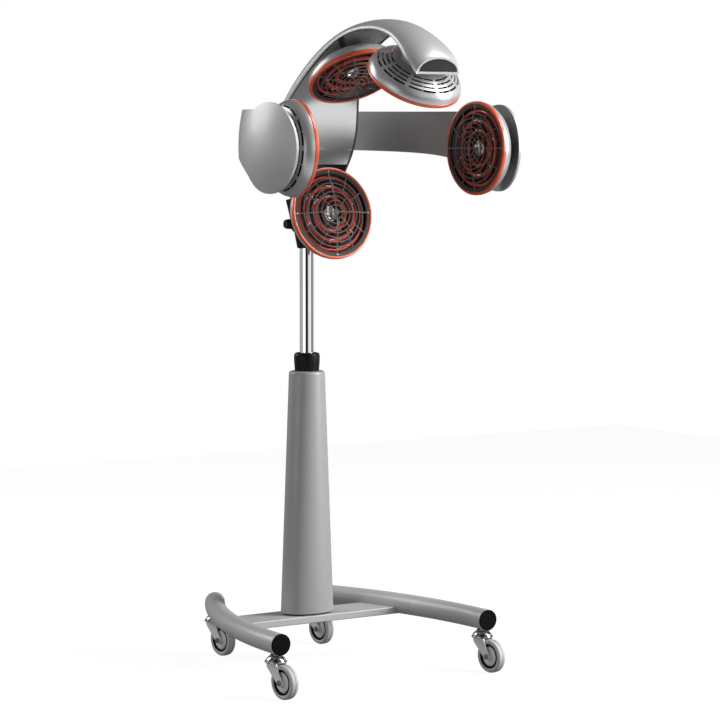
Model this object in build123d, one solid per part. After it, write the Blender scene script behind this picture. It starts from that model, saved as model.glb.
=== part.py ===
from build123d import *
import os
from math import asin, cos, degrees, radians, sin, sqrt

# Mobile hair colour processor: five infrared lamps on a curved hood and two side arms,
# carried by a sliding mast on a four-caster base.
# Millimetres. +Z up, the client sits towards -Y, the mast axis is vertical.
# Everything is drawn about the mast axis (X = Y = 0) with the floor at Z = 0, and moved
# in Y at the end so that the origin is the centre of the footprint.

# ---------------------------------------------------------------- base frame
TUBE_DIAMETER = 46.0          # curved leg tubes
TUBE_WALL = 2.5
TUBE_CENTRE_Z = 115.0
LEG_ARC_RADIUS = 1040.0       # plan radius of each leg
LEG_FRONT_X = 267.0           # half track at the front ends
LEG_FRONT_Y = -325.0
LEG_REAR_STEM_Y = 187.0       # rear caster stems
STEM_INSET = 20.0             # stem axis to the tube's end, along the tube
CAP_HEAD = 3.0
CAP_SPIGOT = 10.0
CAP_FIT = 0.3                 # spigot to tube bore, radial

BAR_DEPTH = 96.0              # crossbar, along Y
BAR_TOP_Z = 110.0
BAR_HEIGHT = 16.0
BAR_WALL = 3.0
BAR_EDGE = 2.0

# ---------------------------------------------------------------- casters
WHEEL_DIAMETER = 73.0
TYRE_WIDTH = 20.0
TYRE_DEPTH = 9.5
TYRE_GROOVE = 1.2
HUB_STEP = 2.0
CASTER_TRAIL = 30.0           # stem axis to axle
CASTER_HEADING = 7.5          # degrees, resting direction of the trail from -Y towards +X
FORK_PLATE = 2.5
FORK_GAP = 2.0                # tyre side to fork plate
CAP_DISC_RADIUS = 24.0
CAP_DISC_UNDERSIDE = 75.0
CAP_DISC_THICKNESS = 3.5
DOME_TOP_RADIUS = 11.0
STEM_RADIUS = 5.5
STEM_COLLAR_RADIUS = 12.0
STEM_COLLAR_THICKNESS = 1.6
AXLE_RADIUS = 4.0
RUNNING_FIT = 0.05            # radial clearance of every turning or sliding fit
SEAT_GAP = 0.3                # between covers and what they clip to

# ---------------------------------------------------------------- column and mast
SHROUD_FOOT_X = 64.0          # half widths of the oval column
SHROUD_FOOT_Y = 45.0
SHROUD_TOP_X = 41.5
SHROUD_TOP_Y = 38.0
SHROUD_WALL = 3.0
SHROUD_LIFT = 4.0             # shadow gap above the crossbar
SHROUD_TOP_Z = 657.0
SHROUD_SHOULDER = 6.0         # its rounding, in flat steps
SHOULDER_STEPS = 3
GUIDE_OUTER = 21.0
GUIDE_BORE = 19.0
GUIDE_TOP_Z = 690.0
FOOT_PLATE_MARGIN = 4.0       # foot plate to the inside of the column
FOOT_PLATE_THICKNESS = 8.0
FOOT_BOLT_X = 38.0            # foot bolts, from the mast axis
FOOT_BOLT_Y = 17.0
FOOT_BOLT_RADIUS = 4.0
BOLT_HEAD_RADIUS = 7.0
BOLT_HEAD_HEIGHT = 5.0
BUSH_LENGTH = 60.0
COLLAR_RADIUS = 29.0
COLLAR_FOOT_RADIUS = 27.3
COLLAR_LIP = 8.0
COLLAR_ROUND = 6.0
MAST_RADIUS = 16.0
MAST_WALL = 2.5
MAST_BOTTOM_Z = 360.0
MAST_FOOT_LENGTH = 40.0
MAST_FOOT_FLOOR = 12.0

# ---------------------------------------------------------------- swivel and tilt joint
SOCKET_RADIUS = 28.0          # at the eye's shoulder
SOCKET_FOOT_RADIUS = 21.5
SOCKET_BOTTOM_Z = 932.0
SOCKET_DEPTH = 32.0
TILT_Z = 986.5                # tilt axis, parallel to X
EYE_RADIUS = 18.0
EYE_HALF_WIDTH = 11.0
BRACKET_HALF_X = 32.0         # outside of the fork's cheeks
TILT_PIN_RADIUS = 5.0
KNOB_RADIUS = 11.5
KNOB_LENGTH = 24.0
KNOB_END_RADIUS = 9.0
KNOB_GRIPS = 8
# The bracket's sections: height, half width, front, back and corner radius.
BRACKET_LEVELS = (
    (986.5, 32.0, -18.0, 16.0, 3.0),
    (1016.0, 42.0, -24.0, 16.0, 8.0),
    (1040.0, 49.0, -28.0, 17.0, 10.0),
    (1043.0, 46.0, -28.0, 3.0, 10.0),
    (1075.0, 43.0, -29.0, 1.0, 10.0),
)

# ---------------------------------------------------------------- head
FOCUS_Y = -310.0              # middle of the client's head, which every lamp surrounds
FOCUS_Z = 1109.0
# Stations of the hood, from behind its nose over the top and down the spine: the angle at the
# focus from straight up (towards the back), the reach from the focus to the crest, the
# half width, and how far the sides wrap forward of the crest.
HOOD_STATIONS = (
    (-25.0, 320.5, 52.5, 25.0),
    (0.0, 320.0, 54.0, 22.0),
    (25.0, 323.0, 64.0, 34.0),
    (50.0, 336.0, 82.0, 54.0),
    (70.0, 334.0, 105.0, 56.0),
    (88.0, 328.0, 92.0, 49.0),
    (101.0, 330.0, 68.0, 36.0),
)
SHELL_WALL = 4.0
COVER_WALL = 3.0
COVER_RECESS = 1.5            # cover edge behind the shell's rim
COVER_DISH = 0.2              # rise of the cover face, as a share of the wrap
COVER_END = 88.0              # angle at which the cover ends, above the tilt bracket
NOSE_Y = -517.0               # middle of the hood's cut front end
NOSE_Z = 1328.0
NOSE_LEAN = 9.6               # degrees that the end face looks down
NOSE_HALF_WIDTH = 52.8
NOSE_RISE = 36.6
NOSE_FOOT = -20.3             # straight lower edge, below the middle
TRIM_WIDTH = 4.8
TRIM_THICKNESS = 2.0
BADGE_RECESS = 1.0            # the panel's face behind the trim's
BADGE_THICKNESS = 1.0
SCREW_RADIUS = 2.0
SCREW_HEAD_RADIUS = 4.0
SCREW_HEAD_HEIGHT = 2.0
SCREW_LENGTH = 6.0
SCREW_PLACES = ((-18.0, 28.0), (12.0, 30.0), (46.0, 46.0), (84.0, 50.0))  # angle, half spacing

ARM_RADIUS = 284.3            # plan radius of the arms' outer face
ARM_CENTRE_X = 25.0           # centre of the right arm's plan arc
ARM_CENTRE_Y = -304.1
ARM_CROWN = 359.0             # vertical crown radius
ARM_CROWN_Z = 1159.0          # height of the crown's middle
ARM_WALL = 5.0
ARM_TOP_Z = 1237.0
ARM_BOTTOM_Z = 1152.0         # at the spine
ARM_BELLY = 17.0              # how far the lower edge hangs halfway to the disc
ARM_START = 95.5              # degrees from +X to the arm's root at the middle of the spine
ARM_SWEEP = 128.0             # degrees from the root to past the disc
DISC_RADIUS = 95.0
DISC_Y = -325.0
DISC_Z = 1155.5
PAD_HALF_WIDTH = 28.0         # the bracket's pad inside the spine
PAD_BOTTOM_Z = 1128.0
PAD_TOP_Z = 1190.0
PAD_FRONT_Y = -10.5           # behind the inner cover
PAD_BACK_Y = 3.0

# ---------------------------------------------------------------- lamps
LAMP_RADIUS = 102.4
RIM_DEPTH = 8.5
RIM_WALL = 3.3
HOUSING_DEPTH = 50.0
HOUSING_WALL = 2.5
HOUSING_BACK_RADIUS = 60.0
RECESS_RADIUS = 30.0
RECESS_DEPTH = 12.0
SLOT_GROUPS = 8
SLOT_SPAN = 34.0              # degrees
SLOT_WIDTH = 4.0
SLOT_RADII = tuple(LAMP_RADIUS - inset for inset in (39.4, 30.9, 22.4, 13.9))
GRILLE_BORDER = 16.4          # from the lamp's edge to the inside of the grille's flat frame
GRILLE_FRAME = LAMP_RADIUS - GRILLE_BORDER
GRILLE_RISE = 17.0
GRILLE_WALL = 2.2
GRILLE_BAR = 2.6
GRILLE_BOSS = 9.0
GRILLE_BANDS = 4
GRILLE_SPOKES = 8
REFLECTOR_DEPTH = 27.5
REFLECTOR_WALL = 1.2
# The dish's profile: share of its radius and of its depth.
REFLECTOR_STEPS = ((0.93, 0.45), (0.8, 0.65), (0.6, 0.85), (0.25, 1.0))
HEATER_RADIUS = LAMP_RADIUS - 42.4
HEATER_TUBE = 4.5
HEATER_Z = -12.0
HEATER_POSTS = 3
HEATER_POST_RADIUS = 1.5
BALL_RADIUS = 12.0
BALL_Z = -44.0                # ball pivot behind the rim's front
SOCKET_COVER = 3.5            # how far the socket reaches behind the ball's middle
NECK_RADIUS = 7.0
LOW_NECK_ROOT = (0, -14, 1018)  # where the lower lamp's neck enters the tilt bracket
NECKS = {                     # part that each neck stands in, and its length from the ball
    "lamp_low": ("tilt_bracket", 52.0),
    "lamp_right": ("arm_right", 34.0),
    "lamp_left": ("arm_left", 34.0),
    "lamp_back": ("inner_cover", 36.0),
    "lamp_front": ("inner_cover", 45.0),
}

# name: rim centre, facing direction, and the direction that is across the lamp
LAMPS = {
    "lamp_low": ((0, -110, 1013), (0, -0.981, 0.194), (1, 0, 0)),
    "lamp_right": ((229, -324, 1155), (-0.999, -0.04, 0), (0, -1, 0)),
    "lamp_left": ((-229, -324, 1155), (0.999, -0.04, 0), (0, 1, 0)),
    "lamp_back": ((0, -199, 1307), (0, -0.53, -0.848), (1, 0, 0)),
    "lamp_front": ((0, -424, 1296), (0, 0.581, -0.814), (1, 0, 0)),
}

# ---------------------------------------------------------------- derived sizes
TUBE_RADIUS = TUBE_DIAMETER / 2
TUBE_BOTTOM_Z = TUBE_CENTRE_Z - TUBE_RADIUS
BAR_BOTTOM_Z = BAR_TOP_Z - BAR_HEIGHT
LEG_CENTRE_X = LEG_FRONT_X - LEG_ARC_RADIUS
LEG_STEM_ANGLE = degrees(asin((LEG_REAR_STEM_Y - LEG_FRONT_Y) / LEG_ARC_RADIUS))
LEG_INSET_ANGLE = degrees(STEM_INSET / LEG_ARC_RADIUS)
LEG_ANGLE = LEG_STEM_ANGLE + LEG_INSET_ANGLE
WHEEL_RADIUS = WHEEL_DIAMETER / 2
HUB_RADIUS = WHEEL_RADIUS - TYRE_DEPTH
FORK_INNER = TYRE_WIDTH / 2 + FORK_GAP
DOME_TOP_Z = TUBE_BOTTOM_Z - STEM_COLLAR_THICKNESS - 0.4
FOOT_TOP_Z = BAR_TOP_Z + FOOT_PLATE_THICKNESS
MAST_TOP_Z = SOCKET_BOTTOM_Z + SOCKET_DEPTH - SEAT_GAP
EYE_SHOULDER_Z = TILT_Z - EYE_RADIUS - 1.0
# The pad reaches forward to the back of the arms, from just above their lower edge.
PAD_SEAT_Z = ARM_BOTTOM_Z + 2.0
PAD_SEAT_Y = ARM_CENTRE_Y + sqrt(ARM_RADIUS ** 2 - ARM_CENTRE_X ** 2) - ARM_WALL / 2


def revolved(points, arc=360.0):
    """Solid of revolution about Z from (radius, height) corners."""
    return revolve(Plane.XZ * make_face(Polyline(*points, close=True)), Axis.Z, arc)


def cylinder(radius, low, high):
    return Pos(0, 0, low) * Cylinder(radius, high - low, align=(Align.CENTER, Align.CENTER, Align.MIN))


def box(x, y, z):
    """Box from (low, high) pairs along each axis."""
    size = [high - low for low, high in (x, y, z)]
    return Pos(x[0], y[0], z[0]) * Box(*size, align=(Align.MIN,) * 3)


def along_x(shape):
    """Turns a shape built about Z so that it lies about X."""
    return Rot(0, 90, 0) * shape


def ring(outer, inner, low, high):
    return cylinder(outer, low, high) - cylinder(inner, low - 1, high + 1)


def mirrored(shape):
    return mirror(shape, Plane.YZ)


def largest(shape):
    """The main solid of a cut that also leaves loose ends."""
    return Part() + max(shape.solids(), key=lambda solid: solid.volume)


# ================================================================ base frame
def leg_place(angle, side=1):
    """Frame on the leg's centre line, its Y along the tube, on the right (1) or left (-1)."""
    x = LEG_CENTRE_X + LEG_ARC_RADIUS * cos(radians(angle))
    y = LEG_FRONT_Y + LEG_ARC_RADIUS * sin(radians(angle))
    return Pos(side * x, y, 0) * Rot(0, 0, side * angle)


def leg_sweep(section):
    """Sweeps a section, drawn about the tube's centre, along the right leg's arc."""
    axis = Axis((LEG_CENTRE_X, LEG_FRONT_Y, 0), (0, 0, 1))
    placed = Pos(LEG_FRONT_X, LEG_FRONT_Y, TUBE_CENTRE_Z) * (Plane.XZ * section)
    return revolve(placed, axis, LEG_ANGLE)


def base_tube():
    tube = leg_sweep(Circle(TUBE_RADIUS) - Circle(TUBE_RADIUS - TUBE_WALL))
    for angle in (LEG_INSET_ANGLE, LEG_STEM_ANGLE):
        tube -= leg_place(angle) * cylinder(STEM_RADIUS + RUNNING_FIT, 0, TUBE_CENTRE_Z)
    return tube


def tube_end_caps():
    """Plug with a slightly domed head for each open tube end."""
    bore = TUBE_RADIUS - TUBE_WALL - CAP_FIT
    plug = revolved([(0, -CAP_SPIGOT), (bore - 1, -CAP_SPIGOT), (bore, 1 - CAP_SPIGOT), (bore, 0),
                     (TUBE_RADIUS, 0), (TUBE_RADIUS, CAP_HEAD - 1), (TUBE_RADIUS - 1, CAP_HEAD),
                     (0, CAP_HEAD)])
    caps = []
    for side in (1, -1):
        for angle, turn in ((0, 90), (LEG_ANGLE, -90)):
            caps.append(leg_place(angle, side) * Pos(0, 0, TUBE_CENTRE_Z) * Rot(turn, 0, 0) * plug)
    return Compound(children=caps)


def crossbar():
    """Flat box bar, saddle-cut at both ends to the leg tubes it is welded to."""
    half_depth = BAR_DEPTH / 2
    bar = box((-LEG_FRONT_X, LEG_FRONT_X), (-half_depth, half_depth), (BAR_BOTTOM_Z, BAR_TOP_Z))
    bar = fillet(bar.edges().filter_by(Axis.X), BAR_EDGE)
    hollow = half_depth - BAR_WALL
    bar -= box((-LEG_FRONT_X, LEG_FRONT_X), (-hollow, hollow),
               (BAR_BOTTOM_Z + BAR_WALL, BAR_TOP_Z - BAR_WALL))
    bar &= box((0, LEG_FRONT_X), (-half_depth, half_depth), (BAR_BOTTOM_Z, BAR_TOP_Z))
    half = largest(bar - leg_sweep(Circle(TUBE_RADIUS)))
    bar = half + mirrored(half)
    for x, y in foot_bolt_points():
        bar -= Pos(x, y) * cylinder(FOOT_BOLT_RADIUS + RUNNING_FIT, 0, BAR_TOP_Z + 1)
    return bar


def foot_bolt_points():
    return [(x, y) for x in (-FOOT_BOLT_X, FOOT_BOLT_X) for y in (-FOOT_BOLT_Y, FOOT_BOLT_Y)]


def column_bolts():
    bolts = []
    for x, y in foot_bolt_points():
        bolt = cylinder(FOOT_BOLT_RADIUS, BAR_BOTTOM_Z, FOOT_TOP_Z - 1)
        head = Pos(0, 0, BAR_BOTTOM_Z - BOLT_HEAD_HEIGHT) * extrude(
            RegularPolygon(BOLT_HEAD_RADIUS, 6), BOLT_HEAD_HEIGHT)
        bolts.append(Pos(x, y) * (bolt + head))
    return Compound(children=bolts)


# ================================================================ casters
CASTER_PLACES = {
    "front_right": (LEG_INSET_ANGLE, 1),
    "front_left": (LEG_INSET_ANGLE, -1),
    "rear_right": (LEG_STEM_ANGLE, 1),
    "rear_left": (LEG_STEM_ANGLE, -1),
}


def stem_point(name):
    angle, side = CASTER_PLACES[name]
    x = LEG_CENTRE_X + LEG_ARC_RADIUS * cos(radians(angle))
    y = LEG_FRONT_Y + LEG_ARC_RADIUS * sin(radians(angle))
    return side * x, y


def caster_stems():
    """Threaded stem with a collar under the tube and a nut inside it, one per caster."""
    wall_top = TUBE_BOTTOM_Z + TUBE_WALL
    stem = cylinder(STEM_RADIUS, CAP_DISC_UNDERSIDE + 1, wall_top + 12)
    stem += cylinder(STEM_COLLAR_RADIUS, TUBE_BOTTOM_Z - STEM_COLLAR_THICKNESS, TUBE_BOTTOM_Z)
    stem += Pos(0, 0, wall_top + 2.0) * extrude(RegularPolygon(8.0, 6), 6.0)
    return Compound(children=[Pos(*stem_point(name)) * stem for name in CASTER_PLACES])


def caster_fork():
    """Domed swivel head with two pressed side plates that carry the axle."""
    top = CAP_DISC_UNDERSIDE + CAP_DISC_THICKNESS
    rim = CAP_DISC_RADIUS
    fork = revolved([(0, CAP_DISC_UNDERSIDE), (rim - 1.2, CAP_DISC_UNDERSIDE),
                     (rim, CAP_DISC_UNDERSIDE + 1.2), (rim, top - 1.2), (rim - 1.2, top),
                     (rim - 3.5, top + 3.5), (rim - 7.5, top + 7.0),
                     (DOME_TOP_RADIUS, DOME_TOP_Z), (0, DOME_TOP_Z)])
    plate_top = CAP_DISC_UNDERSIDE + 1.0
    plate = make_face(Polyline((-19, plate_top), (15, plate_top), (14, plate_top - 12),
                               (-CASTER_TRAIL + 6.5, WHEEL_RADIUS - 6.5),
                               (-CASTER_TRAIL - 7.5, WHEEL_RADIUS + 5.0), (-20, plate_top - 10), close=True))
    plate += Pos(-CASTER_TRAIL, WHEEL_RADIUS) * Circle(9.2)
    for x in (FORK_INNER, -FORK_INNER - FORK_PLATE):
        fork += Pos(x, 0, 0) * extrude(Plane.YZ * plate, FORK_PLATE)
    fork -= cylinder(STEM_RADIUS + RUNNING_FIT, 0, DOME_TOP_Z + 1)
    fork -= axle_place() * along_x(cylinder(AXLE_RADIUS, -CAP_DISC_RADIUS, CAP_DISC_RADIUS))
    return fork


def axle_place():
    return Pos(0, -CASTER_TRAIL, WHEEL_RADIUS)


def caster_tyre():
    """Tread with rounded shoulders and a groove round the middle."""
    half = TYRE_WIDTH / 2
    outline = [(HUB_RADIUS, -half + 1), (HUB_RADIUS + 3, -half), (WHEEL_RADIUS - 3.5, -half),
               (WHEEL_RADIUS - 0.8, -half + 2.5), (WHEEL_RADIUS, -half + 5), (WHEEL_RADIUS, -1.5),
               (WHEEL_RADIUS - TYRE_GROOVE, 0)]
    outline += [(radius, -height) for radius, height in reversed(outline[:-1])]
    return axle_place() * along_x(revolved(outline))


def caster_hub():
    """Stepped wheel disc on a central hub."""
    half = TYRE_WIDTH / 2
    outline = [(AXLE_RADIUS + RUNNING_FIT, -half - FORK_GAP + 0.3), (9, -half - FORK_GAP + 0.3),
               (9, -half + 2.5), (HUB_RADIUS - 7, -half + 2.5), (HUB_RADIUS - 5, -half + 2.5 + HUB_STEP),
               (HUB_RADIUS - 2, -half + 2.5 + HUB_STEP), (HUB_RADIUS - 2, -half + 1),
               (HUB_RADIUS, -half + 1)]
    outline += [(radius, -height) for radius, height in reversed(outline)]
    return axle_place() * along_x(revolved(outline))


def caster_axle():
    reach = FORK_INNER + FORK_PLATE
    head = extrude(RegularPolygon(6.5, 6), 4.5)
    axle = cylinder(AXLE_RADIUS, -reach, reach) + Pos(0, 0, reach) * head
    axle += Pos(0, 0, -reach - 4.5) * head
    return axle_place() * along_x(axle)


# ================================================================ column and mast
def oval(x, y, z):
    return Pos(0, 0, z) * Ellipse(x, y)


def shroud_form(inset, top):
    """Tapered oval form up to a height, moved in from the outside."""
    low = BAR_TOP_Z + SHROUD_LIFT
    share = (top - low) / (SHROUD_TOP_Z - SHROUD_SHOULDER - low)
    top_x = SHROUD_FOOT_X + (SHROUD_TOP_X - SHROUD_FOOT_X) * share - inset
    top_y = SHROUD_FOOT_Y + (SHROUD_TOP_Y - SHROUD_FOOT_Y) * share - inset
    foot = oval(SHROUD_FOOT_X - inset, SHROUD_FOOT_Y - inset, low)
    return loft([foot, oval(top_x, top_y, top)], ruled=True)


def shoulder_oval(step):
    """Section of the column's rounded top edge."""
    turn = radians(90 * step / SHOULDER_STEPS)
    inset = SHROUD_SHOULDER * (1 - cos(turn))
    return oval(SHROUD_TOP_X - inset, SHROUD_TOP_Y - inset, SHROUD_TOP_Z - SHROUD_SHOULDER * (1 - sin(turn)))


def column_shroud():
    """Tapered oval cover with a rounded shoulder, open at the foot."""
    outside = shroud_form(0, SHROUD_TOP_Z - SHROUD_SHOULDER)
    outside += loft([shoulder_oval(step) for step in range(SHOULDER_STEPS + 1)], ruled=True)
    inside = shroud_form(SHROUD_WALL, SHROUD_TOP_Z - SHROUD_WALL - SHROUD_SHOULDER)
    return outside - inside - cylinder(GUIDE_OUTER + SEAT_GAP, BAR_TOP_Z, SHROUD_TOP_Z + 1)


def guide_tube():
    """Steel tube that guides the mast, welded to a foot plate bolted on the crossbar."""
    inset = SHROUD_WALL + FOOT_PLATE_MARGIN
    plate = extrude(oval(SHROUD_FOOT_X - inset, SHROUD_FOOT_Y - inset, BAR_TOP_Z), FOOT_PLATE_THICKNESS)
    tube = plate + cylinder(GUIDE_OUTER, BAR_TOP_Z, GUIDE_TOP_Z)
    tube -= cylinder(GUIDE_BORE, FOOT_TOP_Z, GUIDE_TOP_Z + 1)
    for x, y in foot_bolt_points():
        tube -= Pos(x, y) * cylinder(FOOT_BOLT_RADIUS, 0, FOOT_TOP_Z + 1)
    return tube


def guide_bush():
    return ring(GUIDE_BORE, MAST_RADIUS + RUNNING_FIT, GUIDE_TOP_Z - BUSH_LENGTH, GUIDE_TOP_Z)


def height_collar():
    """Twist-lock collar: grips the guide tube below and closes on the mast above."""
    bottom = SHROUD_TOP_Z + 0.5
    top = GUIDE_TOP_Z + COLLAR_LIP
    collar = revolved([(0, bottom), (COLLAR_FOOT_RADIUS, bottom), (COLLAR_RADIUS, top - 3 * COLLAR_ROUND),
                       (COLLAR_RADIUS, top - COLLAR_ROUND),
                       (COLLAR_RADIUS - 0.3 * COLLAR_ROUND, top - 0.3 * COLLAR_ROUND),
                       (COLLAR_RADIUS - COLLAR_ROUND, top), (0, top)])
    collar -= cylinder(GUIDE_OUTER + RUNNING_FIT, 0, GUIDE_TOP_Z + SEAT_GAP)
    return collar - cylinder(MAST_RADIUS + SEAT_GAP, 0, top + 1)


def mast():
    return ring(MAST_RADIUS, MAST_RADIUS - MAST_WALL, MAST_BOTTOM_Z, MAST_TOP_Z)


def mast_foot():
    """Plastic slide shoe on the lower end of the mast."""
    low = MAST_BOTTOM_Z - MAST_FOOT_FLOOR
    shoe = cylinder(GUIDE_BORE - RUNNING_FIT, low, MAST_BOTTOM_Z + MAST_FOOT_LENGTH)
    return shoe - cylinder(MAST_RADIUS, MAST_BOTTOM_Z, MAST_BOTTOM_Z + MAST_FOOT_LENGTH + 1)


# ================================================================ swivel and tilt joint
def tilt_place():
    return Pos(0, 0, TILT_Z)


def swivel_socket():
    """Cap that turns on the mast, with the eye of the tilt joint on top."""
    socket = revolved([(0, SOCKET_BOTTOM_Z), (SOCKET_FOOT_RADIUS - 1.5, SOCKET_BOTTOM_Z),
                       (SOCKET_FOOT_RADIUS, SOCKET_BOTTOM_Z + 1.5), (SOCKET_RADIUS, EYE_SHOULDER_Z),
                       (0, EYE_SHOULDER_Z)])
    socket += box((-EYE_HALF_WIDTH, EYE_HALF_WIDTH), (-EYE_RADIUS, EYE_RADIUS), (EYE_SHOULDER_Z - 1, TILT_Z))
    socket += tilt_place() * along_x(cylinder(EYE_RADIUS, -EYE_HALF_WIDTH, EYE_HALF_WIDTH))
    socket -= cylinder(MAST_RADIUS + RUNNING_FIT, 0, SOCKET_BOTTOM_Z + SOCKET_DEPTH)
    return socket - tilt_place() * along_x(cylinder(TILT_PIN_RADIUS + RUNNING_FIT, -50, 50))


def focus_ring(half_width, low, high, start, end):
    """Curved bar about the focus: radii low to high, between two hood angles."""
    bar = Pos(0, FOCUS_Y, FOCUS_Z) * (Plane.XZ * (Pos(0, (low + high) / 2)
                                                 * Rectangle(2 * half_width, high - low)))
    axis = Axis((0, FOCUS_Y, FOCUS_Z), (-1, 0, 0))
    return revolve(bar.rotate(axis, start), axis, end - start)


def tilt_bracket():
    """Fork of the tilt joint; its tongue runs up inside the spine to the arms."""
    sections = []
    for z, half_x, front, back, corner in BRACKET_LEVELS:
        outline = fillet(Rectangle(2 * half_x, back - front).vertices(), corner)
        sections.append(Pos(0, (front + back) / 2, z) * outline)
    bracket = loft(sections, ruled=True)
    bracket += tilt_place() * along_x(cylinder(EYE_RADIUS, -BRACKET_HALF_X, BRACKET_HALF_X))
    slot = EYE_HALF_WIDTH + SEAT_GAP
    bracket -= tilt_place() * along_x(cylinder(EYE_RADIUS + 1.5, -slot, slot))
    bracket -= box((-slot, slot), (-2 * EYE_RADIUS, 2 * EYE_RADIUS), (0, TILT_Z))
    bracket -= tilt_place() * along_x(cylinder(TILT_PIN_RADIUS, -60, 60))
    spot_face = tilt_place() * along_x(cylinder(KNOB_RADIUS + 1.5, BRACKET_HALF_X, 60))
    bracket -= [spot_face, mirrored(spot_face)]
    bracket += focus_ring(PAD_HALF_WIDTH, 314.0, 320.0, 82.0, 99.0)
    across = (-PAD_HALF_WIDTH, PAD_HALF_WIDTH)
    bracket += box(across, (PAD_FRONT_Y, PAD_BACK_Y), (PAD_BOTTOM_Z, PAD_TOP_Z))
    bracket += box(across, (PAD_SEAT_Y, PAD_BACK_Y), (PAD_SEAT_Z, PAD_TOP_Z))
    return bracket - arm_band(SEAT_GAP) - mirrored(arm_band(SEAT_GAP))


def tilt_axle():
    """Through pin with a hex head on the right and the knob's thread on the left."""
    head = Pos(0, 0, BRACKET_HALF_X + 0.2) * extrude(RegularPolygon(8.5, 6), 5.5)
    axle = cylinder(TILT_PIN_RADIUS, -BRACKET_HALF_X - KNOB_LENGTH + 8, BRACKET_HALF_X + 1) + head
    return tilt_place() * along_x(axle)


def tilt_knob():
    """Scalloped clamping knob on the left end of the tilt pin."""
    start = BRACKET_HALF_X + SEAT_GAP
    end = start + KNOB_LENGTH
    knob = revolved([(0, start + 5), (KNOB_RADIUS, start + 5), (KNOB_RADIUS, end - 9),
                     (KNOB_RADIUS - 1, end - 4), (KNOB_END_RADIUS, end), (0, end)])
    for i in range(KNOB_GRIPS):
        angle = i * 360 / KNOB_GRIPS
        knob -= Rot(0, 0, angle) * Pos(KNOB_RADIUS + 2.2, 0) * cylinder(4.0, start, end + 1)
    knob += cylinder(KNOB_RADIUS - 3.5, start, start + 6)
    knob -= cylinder(TILT_PIN_RADIUS + RUNNING_FIT, start - 1, end - 7.5)
    return tilt_place() * Rot(0, -90, 0) * knob


# ================================================================ hood and spine
def hood_plane(angle, reach):
    """Plane across the hood at a station: X across, Y outwards from the focus."""
    out = Vector(0, sin(radians(angle)), cos(radians(angle)))
    origin = Vector(0, FOCUS_Y, FOCUS_Z) + out * reach
    return Plane(origin=origin, x_dir=(1, 0, 0), z_dir=Vector(1, 0, 0).cross(out))


def station_value(angle, column):
    """A column of the hood's stations, read in between them."""
    for low, high in zip(HOOD_STATIONS, HOOD_STATIONS[1:]):
        if low[0] <= angle <= high[0]:
            share = (angle - low[0]) / (high[0] - low[0])
            return low[column] + share * (high[column] - low[column])


def shell_section(half_width, wrap):
    """Half oval wall, open towards the client."""
    inner_x, inner_y = half_width - SHELL_WALL, wrap - SHELL_WALL
    wall = EllipticalCenterArc((0, -wrap), half_width, wrap, 0, arc_size=180)
    wall += Line((-half_width, -wrap), (-inner_x, -wrap))
    wall += EllipticalCenterArc((0, -wrap), inner_x, inner_y, 0, arc_size=180)
    wall += Line((inner_x, -wrap), (half_width, -wrap))
    return make_face(wall)


def nose_plane():
    """Plane of the hood's cut front end, facing away from the hood."""
    lean = radians(NOSE_LEAN)
    return Plane(origin=(0, NOSE_Y, NOSE_Z), x_dir=(1, 0, 0), z_dir=(0, -cos(lean), -sin(lean)))


def hood_loft(section, trim=0.0):
    """Lofts a section along the hood to the nose's own outline, or short of it by a trim."""
    nose = nose_plane().offset(-trim) * Pos(0, NOSE_FOOT + NOSE_RISE) * section(NOSE_HALF_WIDTH, NOSE_RISE)
    return loft([nose] + [hood_plane(angle, reach) * section(half_width, wrap)
                          for angle, reach, half_width, wrap in HOOD_STATIONS])


def hood_shell():
    return hood_loft(shell_section) - arm_band(SEAT_GAP) - mirrored(arm_band(SEAT_GAP))


def closed_section(half_width, wrap, inset=0.0):
    """The hood's half oval, filled, with its curved side moved in."""
    across, out = half_width - inset, wrap - inset
    arc = EllipticalCenterArc((0, -wrap), across, out, 0, arc_size=180)
    return make_face(arc + Line((-across, -wrap), (across, -wrap)))


def nose_face(inset):
    """Half-moon outline of the hood's cut end, in its plane, moved in."""
    across, rise = NOSE_HALF_WIDTH - inset, NOSE_RISE - 2 * inset
    arc = EllipticalCenterArc((0, inset), across, rise, 0, arc_size=180)
    return Pos(0, NOSE_FOOT) * make_face(arc + Line((-across, inset), (across, inset)))


def badge_trim():
    """Half-moon frame on the hood's cut end."""
    frame = nose_face(0) - nose_face(TRIM_WIDTH)
    return nose_plane() * extrude(frame, TRIM_THICKNESS)


def badge_panel():
    """Plain plate inside the trim."""
    plate = extrude(nose_face(TRIM_WIDTH + 2 * SEAT_GAP), BADGE_THICKNESS)
    return nose_plane() * Pos(0, 0, TRIM_THICKNESS - BADGE_RECESS - BADGE_THICKNESS) * plate


def cover_section(half_width, wrap):
    """Shallow dished plate that closes the open side of the shell."""
    edge = half_width - SHELL_WALL
    base = COVER_RECESS - wrap
    rise = COVER_DISH * wrap
    face = ThreePointArc((-edge, base), (0, base + rise), (edge, base))
    face += Line((edge, base), (edge, base + COVER_WALL))
    face += ThreePointArc((edge, base + COVER_WALL), (0, base + rise + COVER_WALL),
                          (-edge, base + COVER_WALL))
    face += Line((-edge, base + COVER_WALL), (-edge, base))
    return make_face(face)


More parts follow.
